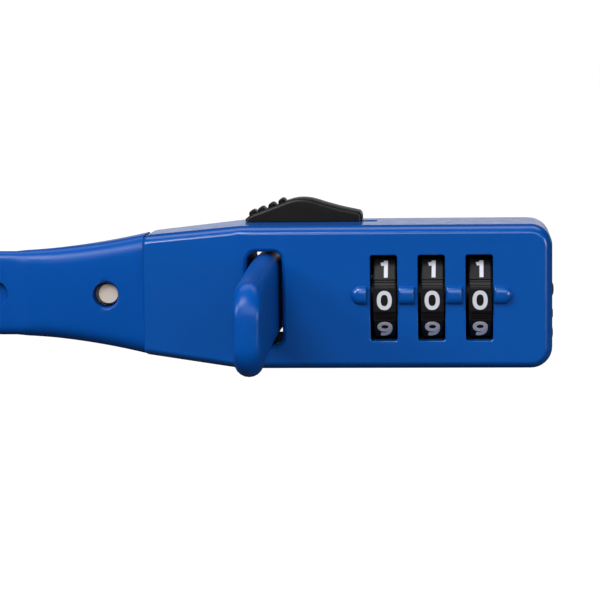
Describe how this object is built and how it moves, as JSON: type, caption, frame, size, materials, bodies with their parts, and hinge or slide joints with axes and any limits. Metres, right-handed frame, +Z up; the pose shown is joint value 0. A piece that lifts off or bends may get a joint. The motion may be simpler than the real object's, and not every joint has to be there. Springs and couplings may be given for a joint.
{
  "type": "strap combination lock",
  "caption": "Flat blue lock head with numbered black dials, a thumb release slider and a steel-cored strap that loops round and through a slot in the head.",
  "frame": {"origin": "centre of the head's flat back face", "axes": "+X along the head towards the dial end, +Y out of the back face and away from the user, +Z up"},
  "size_m": [0.155, 0.1739, 0.0336],
  "materials": {
    "case_blue": "satin moulded nylon",
    "strap_blue": "smooth satin over-moulding",
    "black_plastic": "fine-grained",
    "dial_black": "satin with light digits",
    "steel": "pressed and tumbled",
    "core_steel": "bare hardened strip",
    "spring_steel": "drawn wire",
    "brass": "machined"
  },
  "bodies": {
    "head": {"front_case": "case_blue", "back_cover": "case_blue", "cover_screws": "steel", "slot_liner": "steel", "pawl_pin": "steel", "pawl_spring": "spring_steel", "dial_cage": "steel", "detent_spring": "spring_steel", "return_spring": "spring_steel", "reset_spring": "spring_steel", "anchor_block": "steel", "anchor_pins": "steel", "strap_root_cover": "strap_blue", "strap_root_core": "core_steel"},
    "slider": {"thumb_slider": "black_plastic", "slider_carrier": "steel", "code_shaft": "brass"},
    "pawl_lever": {"pawl": "steel"},
    "reset": {"reset_button": "black_plastic"},
    "dial_1": {"dial_wheel_1": "dial_black", "code_sleeve_1": "dial_black"},
    "dial_2": {"dial_wheel_2": "dial_black", "code_sleeve_2": "dial_black"},
    "dial_3": {"dial_wheel_3": "dial_black", "code_sleeve_3": "dial_black"},
    "strap_link_1": {"strap_cover_1": "strap_blue", "strap_core_1": "core_steel"},
    "strap_link_2": {"strap_cover_2": "strap_blue", "strap_core_2": "core_steel"},
    "strap_link_3": {"strap_cover_3": "strap_blue", "strap_core_3": "core_steel"},
    "strap_link_4": {"strap_cover_4": "strap_blue", "strap_core_4": "core_steel"},
    "strap_link_5": {"strap_cover_5": "strap_blue", "strap_core_5": "core_steel"},
    "strap_link_6": {"strap_cover_6": "strap_blue", "strap_core_6": "core_steel"},
    "strap_link_7": {"strap_cover_7": "strap_blue", "strap_core_7": "core_steel"}
  },
  "joints": [
    {"name": "dial_1_turn", "type": "hinge", "parent": "head", "child": "dial_1", "pos_m": [0.00581, -0.0092, 0], "axis": [1, 0, 0], "continuous": true},
    {"name": "dial_2_turn", "type": "hinge", "parent": "head", "child": "dial_2", "pos_m": [0.01265, -0.0092, 0], "axis": [1, 0, 0], "continuous": true},
    {"name": "dial_3_turn", "type": "hinge", "parent": "head", "child": "dial_3", "pos_m": [0.01949, -0.0092, 0], "axis": [1, 0, 0], "continuous": true},
    {"name": "release_slide", "type": "slide", "parent": "head", "child": "slider", "axis": [1, 0, 0], "range_m": [0, 0.0022], "stiffness_N_per_m": 900, "springref_m": -0.001, "deforming": ["return_spring"]},
    {"name": "pawl_pivot", "type": "hinge", "parent": "head", "child": "pawl_lever", "pos_m": [-0.0196, -0.007, 0], "axis": [0, 0, 1], "range_deg": [-30.8, 0]},
    {"name": "reset_press", "type": "slide", "parent": "head", "child": "reset", "axis": [-1, 0, 0], "range_m": [0, 0.0005], "stiffness_N_per_m": 900, "springref_m": -0.001, "deforming": ["reset_spring"]},
    {"name": "strap_bend_1", "type": "hinge", "parent": "head", "child": "strap_link_1", "pos_m": [-0.06102, -0.00536, 0], "axis": [0, 0, 1], "range_deg": [-30.38, 3.98]},
    {"name": "strap_bend_2", "type": "hinge", "parent": "strap_link_1", "child": "strap_link_2", "pos_m": [-0.10545, 0.02029, 0], "axis": [0, 0, 1], "range_deg": [-3.66, 27.57]},
    {"name": "strap_bend_3", "type": "hinge", "parent": "strap_link_2", "child": "strap_link_3", "pos_m": [-0.123, 0.0685, 0], "axis": [0, 0, 1], "range_deg": [-3.88, 29.29]},
    {"name": "strap_bend_4", "type": "hinge", "parent": "strap_link_3", "child": "strap_link_4", "pos_m": [-0.10667, 0.10792, 0], "axis": [0, 0, 1], "range_deg": [-3.94, 0.56]},
    {"name": "strap_bend_5", "type": "hinge", "parent": "strap_link_4", "child": "strap_link_5", "pos_m": [-0.06725, 0.12425, 0], "axis": [0, 0, 1], "range_deg": [-7.16, 0.98]},
    {"name": "strap_bend_6", "type": "hinge", "parent": "strap_link_5", "child": "strap_link_6", "pos_m": [-0.02783, 0.10792, 0], "axis": [0, 0, 1], "range_deg": [-8.51, 1.16]},
    {"name": "strap_bend_7", "type": "hinge", "parent": "strap_link_6", "child": "strap_link_7", "pos_m": [-0.01171, 0.07336, 0], "axis": [0, 0, 1], "range_deg": [-6.98, 0.96]}
  ],
  "couplings": [
    {"joint": "pawl_pivot", "follows": "release_slide", "rad_per_m": -243.97},
    {"joint": "strap_bend_2", "follows": "strap_bend_1", "ratio": -0.90596},
    {"joint": "strap_bend_3", "follows": "strap_bend_1", "ratio": -0.96262},
    {"joint": "strap_bend_4", "follows": "strap_bend_1", "ratio": 0.12795},
    {"joint": "strap_bend_5", "follows": "strap_bend_1", "ratio": 0.23404},
    {"joint": "strap_bend_6", "follows": "strap_bend_1", "ratio": 0.27851},
    {"joint": "strap_bend_7", "follows": "strap_bend_1", "ratio": 0.22808}
  ]
}
